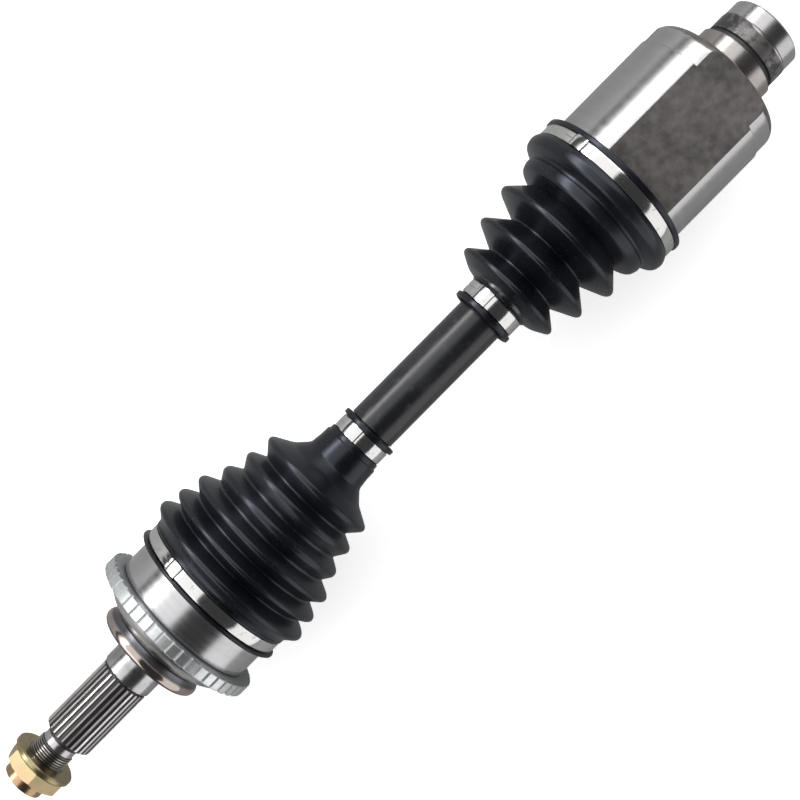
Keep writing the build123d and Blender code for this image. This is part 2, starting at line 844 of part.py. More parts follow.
os.makedirs("parts", exist_ok=True)
for piece in pieces:
    export_step(piece, f"parts/{piece.label}.step")
    size = piece.bounding_box().size
    print(f"{piece.label}: {size.X:.1f} x {size.Y:.1f} x {size.Z:.1f} mm, {piece.volume:.0f} mm3")
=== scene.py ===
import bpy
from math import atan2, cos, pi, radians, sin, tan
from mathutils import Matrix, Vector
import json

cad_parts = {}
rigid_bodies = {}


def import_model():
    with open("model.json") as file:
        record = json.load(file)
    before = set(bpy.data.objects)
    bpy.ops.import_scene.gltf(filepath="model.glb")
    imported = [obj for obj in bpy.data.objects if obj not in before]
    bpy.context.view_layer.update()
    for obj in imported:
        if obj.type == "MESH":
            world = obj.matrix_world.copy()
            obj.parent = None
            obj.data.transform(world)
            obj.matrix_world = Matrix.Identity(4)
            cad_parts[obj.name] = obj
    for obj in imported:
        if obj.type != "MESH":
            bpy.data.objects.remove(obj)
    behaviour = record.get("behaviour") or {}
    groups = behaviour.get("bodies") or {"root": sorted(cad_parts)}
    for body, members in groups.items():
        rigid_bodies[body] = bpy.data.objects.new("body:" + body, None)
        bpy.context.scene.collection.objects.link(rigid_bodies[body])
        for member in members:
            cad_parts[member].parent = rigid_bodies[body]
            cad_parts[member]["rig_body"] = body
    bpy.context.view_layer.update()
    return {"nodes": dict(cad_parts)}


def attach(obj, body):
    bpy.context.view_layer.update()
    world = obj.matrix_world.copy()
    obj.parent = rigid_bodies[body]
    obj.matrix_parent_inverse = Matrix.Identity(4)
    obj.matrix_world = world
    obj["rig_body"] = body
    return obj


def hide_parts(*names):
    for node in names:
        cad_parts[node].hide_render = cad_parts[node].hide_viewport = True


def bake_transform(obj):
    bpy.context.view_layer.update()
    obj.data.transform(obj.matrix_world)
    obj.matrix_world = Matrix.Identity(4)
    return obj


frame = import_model()

# %% [markdown]
# # A car's drive axle
# The machined model is already loaded as a fixed frame, with each steel piece in its true place.
# Here the rubber boots and their steel clamps are modelled by hand, and every surface gets its
# finish. The axle lies along X, from the wheel's nut to the gearbox sleeve, and sizes are metres.

nodes = frame["nodes"]
mm = 0.001


def nothing_selected():
    if bpy.context.object and bpy.context.object.mode != "OBJECT":
        bpy.ops.object.mode_set(mode="OBJECT")
    bpy.ops.object.select_all(action="DESELECT")


def start_editing(piece, kind="FACE"):
    nothing_selected()
    bpy.context.view_layer.objects.active = piece
    piece.select_set(True)
    bpy.ops.object.mode_set(mode="EDIT")
    bpy.ops.mesh.select_mode(type=kind)
    bpy.ops.mesh.select_all(action="DESELECT")


def pick(piece, kind, wanted):
    """Select the vertices, edges or faces whose middle passes the test, from inside edit mode."""
    bpy.ops.object.mode_set(mode="OBJECT")
    mesh = piece.data
    items = {"VERT": mesh.vertices, "EDGE": mesh.edges, "FACE": mesh.polygons}[kind]
    count = 0
    for item in items:
        if kind == "VERT":
            middle = item.co
        else:
            corners = [mesh.vertices[v].co for v in item.vertices]
            middle = sum(corners, Vector()) / len(corners)
        item.select = wanted(middle, item)
        count += item.select
    bpy.ops.object.mode_set(mode="EDIT")
    return count


def stop_editing():
    bpy.ops.object.mode_set(mode="OBJECT")


def apply_modifier(piece, kind, **settings):
    nothing_selected()
    bpy.context.view_layer.objects.active = piece
    piece.select_set(True)
    modifier = piece.modifiers.new(kind.title(), kind)
    for key, value in settings.items():
        setattr(modifier, key, value)
    bpy.ops.object.modifier_apply(modifier=modifier.name)


def smooth(piece, degrees=40):
    nothing_selected()
    bpy.context.view_layer.objects.active = piece
    piece.select_set(True)
    bpy.ops.object.shade_smooth_by_angle(angle=radians(degrees))
    nothing_selected()


# %% [markdown]
# ## The steel pieces
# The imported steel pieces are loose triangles, so light would break on every facet. Each piece
# that shows is copied, its doubled corners are merged, and its round faces are shaded smooth
# while its real edges, over 25 degrees, stay crisp. The copy then stands for the CAD node.

# %% Copy and smooth the steel pieces
def smooth_copy(name, degrees=25):
    node = nodes[name]
    piece = node.copy()
    piece.data = node.data.copy()
    piece.name = name + "_shown"
    piece.parent = None
    for key in list(piece.keys()):
        del piece[key]
    bpy.context.scene.collection.objects.link(piece)
    start_editing(piece, "VERT")
    bpy.ops.mesh.select_all(action="SELECT")
    bpy.ops.mesh.customdata_custom_splitnormals_clear()
    bpy.ops.mesh.remove_doubles(threshold=0.000002)
    stop_editing()
    smooth(piece, degrees)
    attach(piece, node["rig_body"])
    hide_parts(name)
    return piece


soft_nodes = {"outer_boot", "inner_boot"}
clamp_nodes = {name for name in nodes if name.endswith("_clamp")}
steel = {name: smooth_copy(name) for name in nodes if name not in soft_nodes | clamp_nodes}
print(len(steel), "steel pieces copied,", sum(len(p.data.polygons) for p in steel.values()), "faces")

# %% [markdown]
# ## Boots
# A boot is moulded rubber with folds like an accordion, so that it can bend with its joint and
# keep the grease in. It could be spun from a drawn profile. Here one ring is extruded along the
# axle and scaled to each fold's size in turn, as one would by hand, because the folds' places
# and sizes can then be read straight from a list.

# %% Extrude a ring through a list of places and radii
boot_sides = 128


def ring_extruded(name, outline, sides=boot_sides):
    nothing_selected()
    first_x, first_r = outline[0]
    bpy.ops.mesh.primitive_circle_add(
        vertices=sides,
        radius=first_r * mm,
        location=(first_x * mm, 0, 0),
        rotation=(0, pi / 2, 0),
    )
    piece = bpy.context.object
    piece.name = name
    bpy.ops.object.transform_apply(location=True, rotation=True, scale=True)
    start_editing(piece, "EDGE")
    bpy.ops.mesh.select_all(action="SELECT")
    x, r = first_x, first_r
    for next_x, next_r in outline[1:]:
        bpy.ops.mesh.extrude_edges_move(
            TRANSFORM_OT_translate={"value": ((next_x - x) * mm, 0, 0)}
        )
        bpy.ops.transform.resize(
            value=(1, next_r / r, next_r / r), center_override=(next_x * mm, 0, 0)
        )
        x, r = next_x, next_r
    stop_editing()
    return piece


def round_rings(piece, places, width, segments):
    """Bevel whole rings of edges at the given places along the axle."""
    start_editing(piece, "EDGE")
    mesh = piece.data

    def on_ring(middle, edge):
        a, b = (mesh.vertices[v].co for v in edge.vertices)
        return abs(a.x - b.x) < 1e-6 and any(abs(middle.x - p * mm) < 1e-5 for p in places)

    count = pick(piece, "EDGE", on_ring)
    bpy.ops.mesh.bevel(offset=width * mm, segments=segments, affect="EDGES")
    stop_editing()
    return count


def rubber_boot(name, outline, peaks, valleys, steps, wall=1.9):
    piece = ring_extruded(name, outline)
    round_rings(piece, peaks, 3.2, 7)
    round_rings(piece, valleys, 1.5, 4)
    round_rings(piece, steps, 0.22, 2)
    start_editing(piece)
    bpy.ops.mesh.select_all(action="SELECT")
    bpy.ops.mesh.normals_make_consistent(inside=False)
    stop_editing()
    apply_modifier(piece, "SOLIDIFY", thickness=wall * mm, offset=-1, use_even_offset=False)
    smooth(piece, 50)
    return piece


# %% [markdown]
# ## The outer boot
# The wheel end's boot is one rubber moulding with six folds that get smaller towards the bar.
# It could be one screw modifier on a drawn line, but a cage of rings from round_rings keeps every
# fold's place and radius in one short list, and the bevels then round the peaks and valleys
# by different amounts. It crosses the ball joint.

# %% Outer boot
outer_cuff = [
    (52.9, 48.1), (53.3, 48.9), (54.2, 48.9), (54.9, 46.2), (62.0, 46.1), (62.4, 47.3),
    (63.6, 47.5), (63.9, 47.0), (64.5, 47.0), (64.9, 47.7), (66.4, 48.0),
]
outer_folds = [
    (72.0, 54.8), (77.9, 43.7), (83.6, 52.6), (89.5, 41.7), (96.7, 50.0), (102.4, 38.5), (110.4, 43.6),
    (116.0, 34.3), (125.0, 40.0), (129.9, 29.9), (139.0, 37.9), (146.2, 25.0), (153.0, 18.7),
]
outer_neck = [
    (160.0, 17.9), (165.6, 17.7), (166.0, 16.9), (168.8, 16.7), (169.4, 15.3), (177.4, 15.2),
    (178.0, 17.5), (180.3, 17.7), (180.8, 17.1),
]
outer_boot = rubber_boot(
    "outer_boot_rubber",
    outer_cuff + outer_folds + outer_neck,
    peaks=[72.0, 83.6, 96.7, 110.4, 125.0, 139.0],
    valleys=[77.9, 89.5, 102.4, 116.0, 129.9, 146.2, 153.0],
    steps=[53.3, 54.2, 54.9, 62.0, 62.4, 63.6, 63.9, 64.5, 64.9, 165.6, 166.0, 168.8, 178.0, 180.3],
)
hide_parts("outer_boot")
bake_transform(outer_boot)
print("outer boot", len(outer_boot.data.polygons), "faces")

# %% [markdown]
# ## The inner boot in two lengths
# The gearbox joint both bends and slides, and a mesh can only blend across one joint. The boot
# is made as two meshes that meet in the bottom of a fold: a narrow one with the bending folds
# and a wide one with the sliding folds and the cuff.

# %% Inner boot
inner_neck = [
    (266.8, 18.4), (267.4, 19.4), (269.9, 19.4), (270.7, 17.2), (279.7, 17.1), (280.1, 18.6), (281.3, 19.5),
]
bending_folds = [
    (282.6, 25.2), (287.8, 34.6), (297.5, 22.9), (306.0, 39.8), (318.0, 25.5), (326.0, 43.6), (338.0, 32.2),
]
sliding_folds = [
    (338.0, 32.2), (342.2, 41.6), (347.0, 43.2), (350.0, 41.9), (353.2, 49.4), (357.6, 50.4), (361.0, 48.8),
]
inner_cuff = [(361.5, 47.5), (368.3, 47.5), (368.9, 49.3), (371.2, 49.3), (371.8, 48.4)]
inner_boot_bending = rubber_boot(
    "inner_boot_rubber_narrow",
    inner_neck + bending_folds,
    peaks=[287.8, 306.0, 326.0],
    valleys=[282.6, 297.5, 318.0],
    steps=[267.4, 269.9, 270.7, 279.7, 280.1, 281.3],
)
inner_boot_sliding = rubber_boot(
    "inner_boot_rubber_wide",
    sliding_folds + inner_cuff,
    peaks=[],
    valleys=[342.2, 347.0, 350.0, 353.2, 357.6],
    steps=[361.0, 361.5, 368.3, 368.9, 371.2],
)
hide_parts("inner_boot")
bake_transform(inner_boot_bending)
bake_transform(inner_boot_sliding)
print("inner boot", len(inner_boot_bending.data.polygons) + len(inner_boot_sliding.data.polygons), "faces")

# %% [markdown]
# ## Boot clamps
# Each boot end is held by a thin stainless band. Its end is pulled tight under a buckle and
# folded back flat, so beside the buckle there is a slit strap end. All three could be one mesh.
# Here each is a length cut from an open tube, because that is how the strip is really bent.

# %% Cut a length of strip from an open tube
def strip(name, start_x, width, inner_r, first_angle, last_angle, thickness, sides):
    """A strip round the axle between two angles, or a full band when the angles are equal."""
    nothing_selected()
    bpy.ops.mesh.primitive_cylinder_add(
        vertices=sides,
        radius=inner_r * mm,
        depth=width * mm,
        end_fill_type="NOTHING",
        location=((start_x + width / 2) * mm, 0, 0),
        rotation=(0, pi / 2, 0),
    )
    piece = bpy.context.object
    piece.name = name
    bpy.ops.object.transform_apply(location=True, rotation=True, scale=True)
    if last_angle > first_angle:
        start_editing(piece)

        def unwanted(middle, face):
            angle = atan2(middle.z, middle.y) * 180 / pi
            return not first_angle < angle < last_angle

        pick(piece, "FACE", unwanted)
        bpy.ops.mesh.delete(type="FACE")
        stop_editing()
    apply_modifier(piece, "SOLIDIFY", thickness=thickness * mm, offset=1)
    apply_modifier(piece, "BEVEL", width=0.16 * mm, segments=2, limit_method="ANGLE", angle_limit=radians(50))
    smooth(piece, 35)
    return piece


# %% [markdown]
# ## The four clamps
# Each clamp is a steel strip bent into a band, with a folded buckle and an end slit into two
# tails that the buckle holds down. All are lengths of one open tube, so strip cuts
# each from a cylinder by angle, and the buckle and tails lie a strip's thickness higher.

# %% Model each clamp: its band, buckle and slit strap end
clamps = {
    "outer_boot_large_clamp": (55.2, 6.6, 47.0, 35.0, 44.2, 55.3, 192),
    "outer_boot_small_clamp": (169.6, 7.6, 16.1, 2.0, 31.0, 71.0, 96),
    "inner_boot_small_clamp": (271.0, 8.6, 18.0, 1.0, 37.0, 67.0, 96),
    "inner_boot_large_clamp": (361.6, 6.6, 48.4, 29.0, 37.4, 47.4, 192),
}
clamp_pieces = []
for node_name, (start_x, width, outer_r, tail_angle, buckle_angle, end_angle, sides) in clamps.items():
    half = (width - 1.2) / 2
    made = [
        strip(node_name + "_band", start_x, width, outer_r - 0.6, 0, 0, 0.6, sides),
        strip(
            node_name + "_buckle", start_x - 0.3, width + 0.6, outer_r, buckle_angle, end_angle, 1.1, sides
        ),
        strip(node_name + "_tail_a", start_x + 0.4, half, outer_r, tail_angle, buckle_angle, 0.7, sides),
        strip(
            node_name + "_tail_b", start_x + 0.8 + half, half, outer_r, tail_angle, buckle_angle, 0.7, sides
        ),
    ]
    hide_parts(node_name)
    for piece in made:
        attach(piece, nodes[node_name]["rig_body"])
        clamp_pieces.append(piece)
print(len(clamp_pieces), "clamp pieces")

# %% [markdown]
# ## Finishes: where on the axle
# Most finishes here change along the axle or with the radius, as turned steel does. A small
# node group turns a point on a piece into its place along the axle, its distance from the
# centre line and its angle round it, and a second one makes a soft-edged band of any of them.

# %% Node groups for place and bands
def new_group(name, inputs, outputs):
    group = bpy.data.node_groups.new(name, "ShaderNodeTree")
    for label, kind, value in inputs:
        socket = group.interface.new_socket(label, in_out="INPUT", socket_type=kind)
        if value is not None:
            socket.default_value = value
    for label, kind in outputs:
        group.interface.new_socket(label, in_out="OUTPUT", socket_type=kind)
    start = group.nodes.new("NodeGroupInput")
    end = group.nodes.new("NodeGroupOutput")
    return group, start, end


def node(tree, kind, **settings):
    made = tree.nodes.new(kind)
    for key, value in settings.items():
        setattr(made, key, value)
    return made


def math(tree, operation, a, b=None, clamp=False):
    made = node(tree, "ShaderNodeMath", operation=operation, use_clamp=clamp)
    for socket, value in zip(made.inputs, (a, b)):
        if hasattr(value, "is_output"):
            tree.links.new(value, socket)
        elif value is not None:
            socket.default_value = value
    return made.outputs[0]


def mapped(tree, value, low, high, to_low=0.0, to_high=1.0, kind="SMOOTHSTEP"):
    made = node(tree, "ShaderNodeMapRange", interpolation_type=kind)
    for socket, item in zip(made.inputs, (value, low, high, to_low, to_high)):
        if hasattr(item, "is_output"):
            tree.links.new(item, socket)
        else:
            socket.default_value = item
    return made.outputs[0]


place_group, start, end = new_group(
    "place_on_axle",
    [("Place", "NodeSocketVector", None)],
    [("Along", "NodeSocketFloat"), ("Radius", "NodeSocketFloat"), ("Around", "NodeSocketFloat")],
)
split = node(place_group, "ShaderNodeSeparateXYZ")
place_group.links.new(start.outputs["Place"], split.inputs[0])
y_squared = math(place_group, "POWER", split.outputs["Y"], 2.0)
z_squared = math(place_group, "POWER", split.outputs["Z"], 2.0)
radius = math(place_group, "SQRT", math(place_group, "ADD", y_squared, z_squared))
angle = math(place_group, "ARCTAN2", split.outputs["Z"], split.outputs["Y"])
place_group.links.new(split.outputs["X"], end.inputs["Along"])
place_group.links.new(radius, end.inputs["Radius"])
place_group.links.new(angle, end.inputs["Around"])

band_group, start, end = new_group(
    "soft_band",
    [
        ("Value", "NodeSocketFloat", 0.0),
        ("Low", "NodeSocketFloat", 0.0),
        ("High", "NodeSocketFloat", 1.0),
        ("Soft", "NodeSocketFloat", 0.001),
    ],
    [("Mask", "NodeSocketFloat")],
)
low_edge = math(band_group, "SUBTRACT", start.outputs["Low"], start.outputs["Soft"])
high_edge = math(band_group, "ADD", start.outputs["High"], start.outputs["Soft"])
rising = mapped(band_group, start.outputs["Value"], low_edge, start.outputs["Low"])
falling = mapped(band_group, start.outputs["Value"], start.outputs["High"], high_edge, 1.0, 0.0)
band_group.links.new(math(band_group, "MULTIPLY", rising, falling), end.inputs["Mask"])
print("groups:", place_group.name, band_group.name)

# %% [markdown]
# ## Finishes: tool marks, scale and dirt
# A lathe leaves fine rings, which are random from one ring to the next but run true round the
# piece, so one-dimensional noise along the axle makes them. Forging leaves a dark, pitted
# scale, which is noise at two sizes. Dirt is a broad, soft noise.

# %% Node group for lathe rings
ring_group, start, end = new_group(
    "lathe_rings",
    [
        ("Along", "NodeSocketFloat", 0.0),
        ("Place", "NodeSocketVector", None),
        ("Rings per metre", "NodeSocketFloat", 3000.0),
    ],
    [("Height", "NodeSocketFloat"), ("Streak", "NodeSocketFloat")],
)
fine = node(ring_group, "ShaderNodeTexNoise", noise_dimensions="1D")
ring_group.links.new(
    math(ring_group, "MULTIPLY", start.outputs["Along"], start.outputs["Rings per metre"]), fine.inputs["W"]
)
fine.inputs["Scale"].default_value = 1.0
fine.inputs["Detail"].default_value = 3.0
broad = node(ring_group, "ShaderNodeTexNoise", noise_dimensions="1D")
ring_group.links.new(math(ring_group, "MULTIPLY", start.outputs["Along"], 260.0), broad.inputs["W"])
broad.inputs["Scale"].default_value = 1.0
patches = node(ring_group, "ShaderNodeTexNoise")
ring_group.links.new(start.outputs["Place"], patches.inputs["Vector"])
patches.inputs["Scale"].default_value = 55.0
patches.inputs["Detail"].default_value = 4.0
worn = mapped(ring_group, patches.outputs["Fac"], 0.35, 0.62, 0.45, 1.0)
ring_group.links.new(math(ring_group, "MULTIPLY", fine.outputs["Fac"], worn), end.inputs["Height"])
mixed = math(ring_group, "MULTIPLY", math(ring_group, "ADD", fine.outputs["Fac"], broad.outputs["Fac"]), 0.5)
ring_group.links.new(mapped(ring_group, mixed, 0.36, 0.64), end.inputs["Streak"])

# %% [markdown]
# ## Forging scale
# Faces that no tool has touched keep the dark, grainy skin of the forge. Two noises of different
# size give its blotches and its grain, and Voronoi cells give its pits. The group gives a shade
# for the colour and a height for the bump, and each finish chooses the size.

# %% Node group for forging scale
scale_group, start, end = new_group(
    "forging_scale",
    [("Place", "NodeSocketVector", None), ("Size", "NodeSocketFloat", 90.0)],
    [("Shade", "NodeSocketFloat"), ("Height", "NodeSocketFloat")],
)
cloud = node(scale_group, "ShaderNodeTexNoise")
cloud.inputs["Detail"].default_value = 6.0
cloud.inputs["Roughness"].default_value = 0.62
grit = node(scale_group, "ShaderNodeTexNoise")
grit.inputs["Detail"].default_value = 4.0
pits = node(scale_group, "ShaderNodeTexVoronoi", feature="F1")
for texture, factor in ((cloud, 0.45), (grit, 9.0), (pits, 7.0)):
    scale_group.links.new(start.outputs["Place"], texture.inputs["Vector"])
    size = math(scale_group, "MULTIPLY", start.outputs["Size"], factor)
    scale_group.links.new(size, texture.inputs["Scale"])
pit_mask = mapped(scale_group, pits.outputs["Distance"], 0.10, 0.34, 1.0, 0.0)
scale_group.links.new(mapped(scale_group, cloud.outputs["Fac"], 0.32, 0.70), end.inputs["Shade"])
lumps = math(scale_group, "ADD", grit.outputs["Fac"], cloud.outputs["Fac"])
scale_group.links.new(math(scale_group, "SUBTRACT", lumps, pit_mask), end.inputs["Height"])

# %% [markdown]
# ## Dirt and handling marks
# Real steel and rubber carry faint smears and a few small specks. A wide noise cut near its top
# makes the smears, and a fine one cut higher makes the specks. It is a group because
# most finishes on the axle use it, each by its own amount.

# %% Node group for dirt and handling marks
dirt_group, start, end = new_group(
    "dirt_and_marks",
    [("Place", "NodeSocketVector", None), ("Amount", "NodeSocketFloat", 0.3)],
    [("Dirt", "NodeSocketFloat"), ("Marks", "NodeSocketFloat")],
)
film = node(dirt_group, "ShaderNodeTexNoise")
film.inputs["Scale"].default_value = 38.0
film.inputs["Detail"].default_value = 6.0
film.inputs["Roughness"].default_value = 0.6
marks = node(dirt_group, "ShaderNodeTexNoise")
marks.inputs["Scale"].default_value = 260.0
marks.inputs["Detail"].default_value = 3.0
for texture in (film, marks):
    dirt_group.links.new(start.outputs["Place"], texture.inputs["Vector"])
dirty = mapped(dirt_group, film.outputs["Fac"], 0.45, 0.72)
dirt_group.links.new(math(dirt_group, "MULTIPLY", dirty, start.outputs["Amount"]), end.inputs["Dirt"])
speck = mapped(dirt_group, marks.outputs["Fac"], 0.60, 0.68)
dirt_group.links.new(math(dirt_group, "MULTIPLY", speck, start.outputs["Amount"]), end.inputs["Marks"])
print("groups:", ring_group.name, scale_group.name, dirt_group.name)

# %% [markdown]
# ## Building a finish
# Every finish starts with the same nodes: the object's own coordinates, its place on the axle
# and the Principled shader. Layers are then mixed over each other by masks, the way coats of
# plating, oil and dirt lie on the real thing.

# %% Helpers for a finish
class Finish:
    """A material being built: its tree, its place on the axle and the layers laid so far."""

    def __init__(self, name, metallic, base, roughness, **constants):
        self.material = bpy.data.materials.new(name)
        self.material.use_nodes = True
        self.tree = self.material.node_tree
        self.shader = self.tree.nodes["Principled BSDF"]
        for key, value in constants.items():
            self.shader.inputs[key.replace("_", " ")].default_value = value
        self.point = node(self.tree, "ShaderNodeTexCoord").outputs["Object"]
        place = self.group(place_group, Place=self.point)
        self.along, self.radius, self.around = (place.outputs[i] for i in range(3))
        self.colour = self.rgb(base)
        self.rough = roughness
        self.metal = metallic
        self.height = None

    def rgb(self, colour):
        made = node(self.tree, "ShaderNodeRGB")
        made.outputs[0].default_value = (*colour, 1.0)
        return made.outputs[0]

    def group(self, tree, **values):
        made = node(self.tree, "ShaderNodeGroup", node_tree=tree)
        for key, value in values.items():
            self.set(made.inputs[key.replace("_", " ")], value)
        return made

    def set(self, socket, value):
        if hasattr(value, "is_output"):
            self.tree.links.new(value, socket)
        else:
            socket.default_value = value

    def band(self, value, low, high, soft):
        return self.group(band_group, Value=value, Low=low, High=high, Soft=soft).outputs["Mask"]

    def mixed(self, mask, under, over):
        mix = node(self.tree, "ShaderNodeMix", data_type="FLOAT")
        self.set(mix.inputs[0], mask)
        self.set(mix.inputs[2], under)
        self.set(mix.inputs[3], over)
        return mix.outputs[0]

    def lay(self, mask, colour=None, rough=None, strength=1.0, metal=None):
        """Lay a colour and a roughness over what is there, where the mask is white."""
        if strength != 1.0:
            mask = math(self.tree, "MULTIPLY", mask, strength)
        if colour is not None:
            mix = node(self.tree, "ShaderNodeMix", data_type="RGBA")
            self.set(mix.inputs[0], mask)
            self.set(mix.inputs[6], self.colour)
            self.set(mix.inputs[7], colour if hasattr(colour, "is_output") else (*colour, 1.0))
            self.colour = mix.outputs[2]
        if rough is not None:
            self.rough = self.mixed(mask, self.rough, rough)
        if metal is not None:
            self.metal = self.mixed(mask, self.metal, metal)
        return self

    def shade(self, mask, dark, light):
        """Make the colour darker or lighter by a factor that runs from dark to light."""
        factor = mapped(self.tree, mask, 0.0, 1.0, dark, light, "LINEAR")
        mix = node(self.tree, "ShaderNodeMix", data_type="RGBA", blend_type="MULTIPLY")
        mix.inputs[0].default_value = 1.0
        self.set(mix.inputs[6], self.colour)
        grey = node(self.tree, "ShaderNodeCombineColor")
        for socket in grey.inputs[:3]:
            self.set(socket, factor)
        self.set(mix.inputs[7], grey.outputs[0])
        self.colour = mix.outputs[2]
        return self

    def raise_by(self, height, amount):
        part = math(self.tree, "MULTIPLY", height, amount)
        self.height = part if self.height is None else math(self.tree, "ADD", self.height, part)
        return self

    def done(self, bump_mm=0.02):
        self.tree.links.new(self.colour, self.shader.inputs["Base Color"])
        self.set(self.shader.inputs["Roughness"], self.rough)
        self.set(self.shader.inputs["Metallic"], self.metal)
        if self.height is not None:
            bump = node(self.tree, "ShaderNodeBump")
            bump.inputs["Strength"].default_value = 1.0
            bump.inputs["Distance"].default_value = bump_mm * mm
            self.tree.links.new(self.height, bump.inputs["Height"])
            self.tree.links.new(bump.outputs["Normal"], self.shader.inputs["Normal"])
        return self.material


def paint(material, *pieces):
    print("finish", material.name, "on", len(pieces), "piece" if len(pieces) == 1 else "pieces")
    for piece in pieces:
        piece.data.materials.clear()
        piece.data.materials.append(material)


# %% [markdown]
# ## The stub and bell
# One forging carries five finishes. The thread and splines keep a dark oily phosphate coat,
# worn bright on the tooth tips. The pilot and the bell are ground, the shoulder's rim is
# tinted straw and copper by the heat of hardening, and the dome is turned.

# %% Finish of the stub and bell
def bell_steel():
    f = Finish("bell_steel", 1.0, (0.56, 0.55, 0.56), 0.20)
    rings = f.group(ring_group, Along=f.along, Place=f.point, Rings_per_metre=4200.0)
    dirt = f.group(dirt_group, Place=f.point, Amount=0.5)
    mottle = f.group(scale_group, Place=f.point, Size=150.0)
    f.shade(rings.outputs["Streak"], 0.95, 1.04)
    f.rough = mapped(f.tree, rings.outputs["Streak"], 0.0, 1.0, 0.19, 0.25, "LINEAR")
    splines = f.band(f.along, -0.0602, -0.0112, 0.0004)
    worn = mapped(f.tree, mottle.outputs["Shade"], 0.0, 1.0, 0.34, 0.50, "LINEAR")
    f.lay(splines, (0.62, 0.60, 0.60), worn)
    tooth_roots = math(f.tree, "MULTIPLY", splines, f.band(f.radius, 0.0, 0.01450, 0.0005))
    f.lay(tooth_roots, (0.075, 0.07, 0.07), 0.42)
    thread = f.band(f.along, -0.0930, -0.0646, 0.0004)
    f.lay(thread, (0.46, 0.44, 0.43), 0.24)
    thread_roots = math(f.tree, "MULTIPLY", thread, f.band(f.radius, 0.0, 0.0104, 0.0004))
    f.lay(thread_roots, (0.09, 0.08, 0.075), 0.42)
    pilot = f.band(f.along, -0.0112, 0.0056, 0.0003)
    f.shade(math(f.tree, "MULTIPLY", pilot, mottle.outputs["Shade"]), 1.05, 0.70)
    rim = f.band(f.along, 0.0058, 0.0122, 0.0008)
    f.lay(rim, (0.46, 0.44, 0.435), 0.15)
    straw = math(f.tree, "MULTIPLY", rim, f.band(f.radius, 0.0314, 0.0345, 0.0008))
    f.lay(straw, (0.58, 0.44, 0.36), 0.15, 0.40)
    # Painted shade: the groove between the shoulder's rim and the dome is darkened.
    waist_painted_shade = f.band(f.along, 0.0118, 0.0166, 0.0012)
    f.lay(waist_painted_shade, (0.11, 0.11, 0.125), 0.28, 0.9)
    # Painted shade: a dark line along the front edge of the rim.
    front = f.band(f.along, 0.0050, 0.0072, 0.0004)
    rim_edge_painted_shade = math(f.tree, "MULTIPLY", front, f.band(f.radius, 0.029, 0.0345, 0.0006))
    f.lay(rim_edge_painted_shade, (0.07, 0.06, 0.06), 0.30, 0.9)
    dome = f.band(f.along, 0.0172, 0.0252, 0.0012)
    f.lay(dome, (0.60, 0.595, 0.59), 0.24)
    stain = math(f.tree, "MULTIPLY", dome, mapped(f.tree, mottle.outputs["Shade"], 0.50, 1.0))
    f.lay(stain, (0.22, 0.20, 0.19), 0.38, 0.6)
    shadowed = f.band(f.along, 0.0244, 0.0264, 0.0005)
    f.lay(shadowed, (0.06, 0.06, 0.06), 0.5, 0.8)
    # Painted shade: a dark band on the bell just behind the tone ring.
    painted_shade_behind_ring = f.band(f.along, 0.0336, 0.0346, 0.0002)
    f.lay(painted_shade_behind_ring, (0.05, 0.05, 0.055), 0.5, 0.85)
    f.lay(dirt.outputs["Dirt"], (0.25, 0.23, 0.22), 0.42, 0.35)
    f.raise_by(rings.outputs["Height"], 0.05)
    f.raise_by(dirt.outputs["Marks"], -0.15)
    return f.done(0.010)


paint(bell_steel(), steel["outer_race"])


# %% [markdown]
# ## Zinc plating
# The tone ring is plated in bright zinc, a slightly blue white, over sawn teeth. The nut is
# plated in yellow-passivated zinc, which drifts from gold to pink and green where the film is
# thicker or thinner.

# %% Finish of the tone ring
def bright_zinc():
    f = Finish("bright_zinc", 1.0, (0.80, 0.82, 0.82), 0.34)
    rings = f.group(ring_group, Along=f.along, Place=f.point, Rings_per_metre=1800.0)
    dirt = f.group(dirt_group, Place=f.point, Amount=0.6)
    spangle = node(f.tree, "ShaderNodeTexVoronoi", feature="F1")
    f.tree.links.new(f.point, spangle.inputs["Vector"])
    spangle.inputs["Scale"].default_value = 900.0
    flakes = mapped(f.tree, spangle.outputs["Distance"], 0.1, 0.7)
    f.shade(flakes, 0.93, 1.05)
    f.shade(rings.outputs["Streak"], 0.93, 1.03)
    slots = f.band(f.radius, 0.0470, 0.04985, 0.0002)
    f.lay(slots, (0.78, 0.80, 0.80), 0.55, metal=0.6)
    # Painted shade: the ring's rear face, turned away from the lights, is darkened.
    back_face_painted_shade = f.band(f.along, 0.03365, 0.0350, 0.0001)
    f.lay(back_face_painted_shade, (0.26, 0.27, 0.28), 0.45, 0.8)
    f.lay(dirt.outputs["Dirt"], (0.52, 0.53, 0.50), 0.5, 0.5)
    f.raise_by(flakes, 0.25)
    f.raise_by(rings.outputs["Height"], 0.45)
    return f.done(0.012)


# %% [markdown]
# ## The nut
# The nut is plated with yellow zinc, which is never one colour: it drifts between straw,
# pink and green over a few millimetres. Noise chooses between the three, and bands along the
# axle give the collar and the flange their own tint.

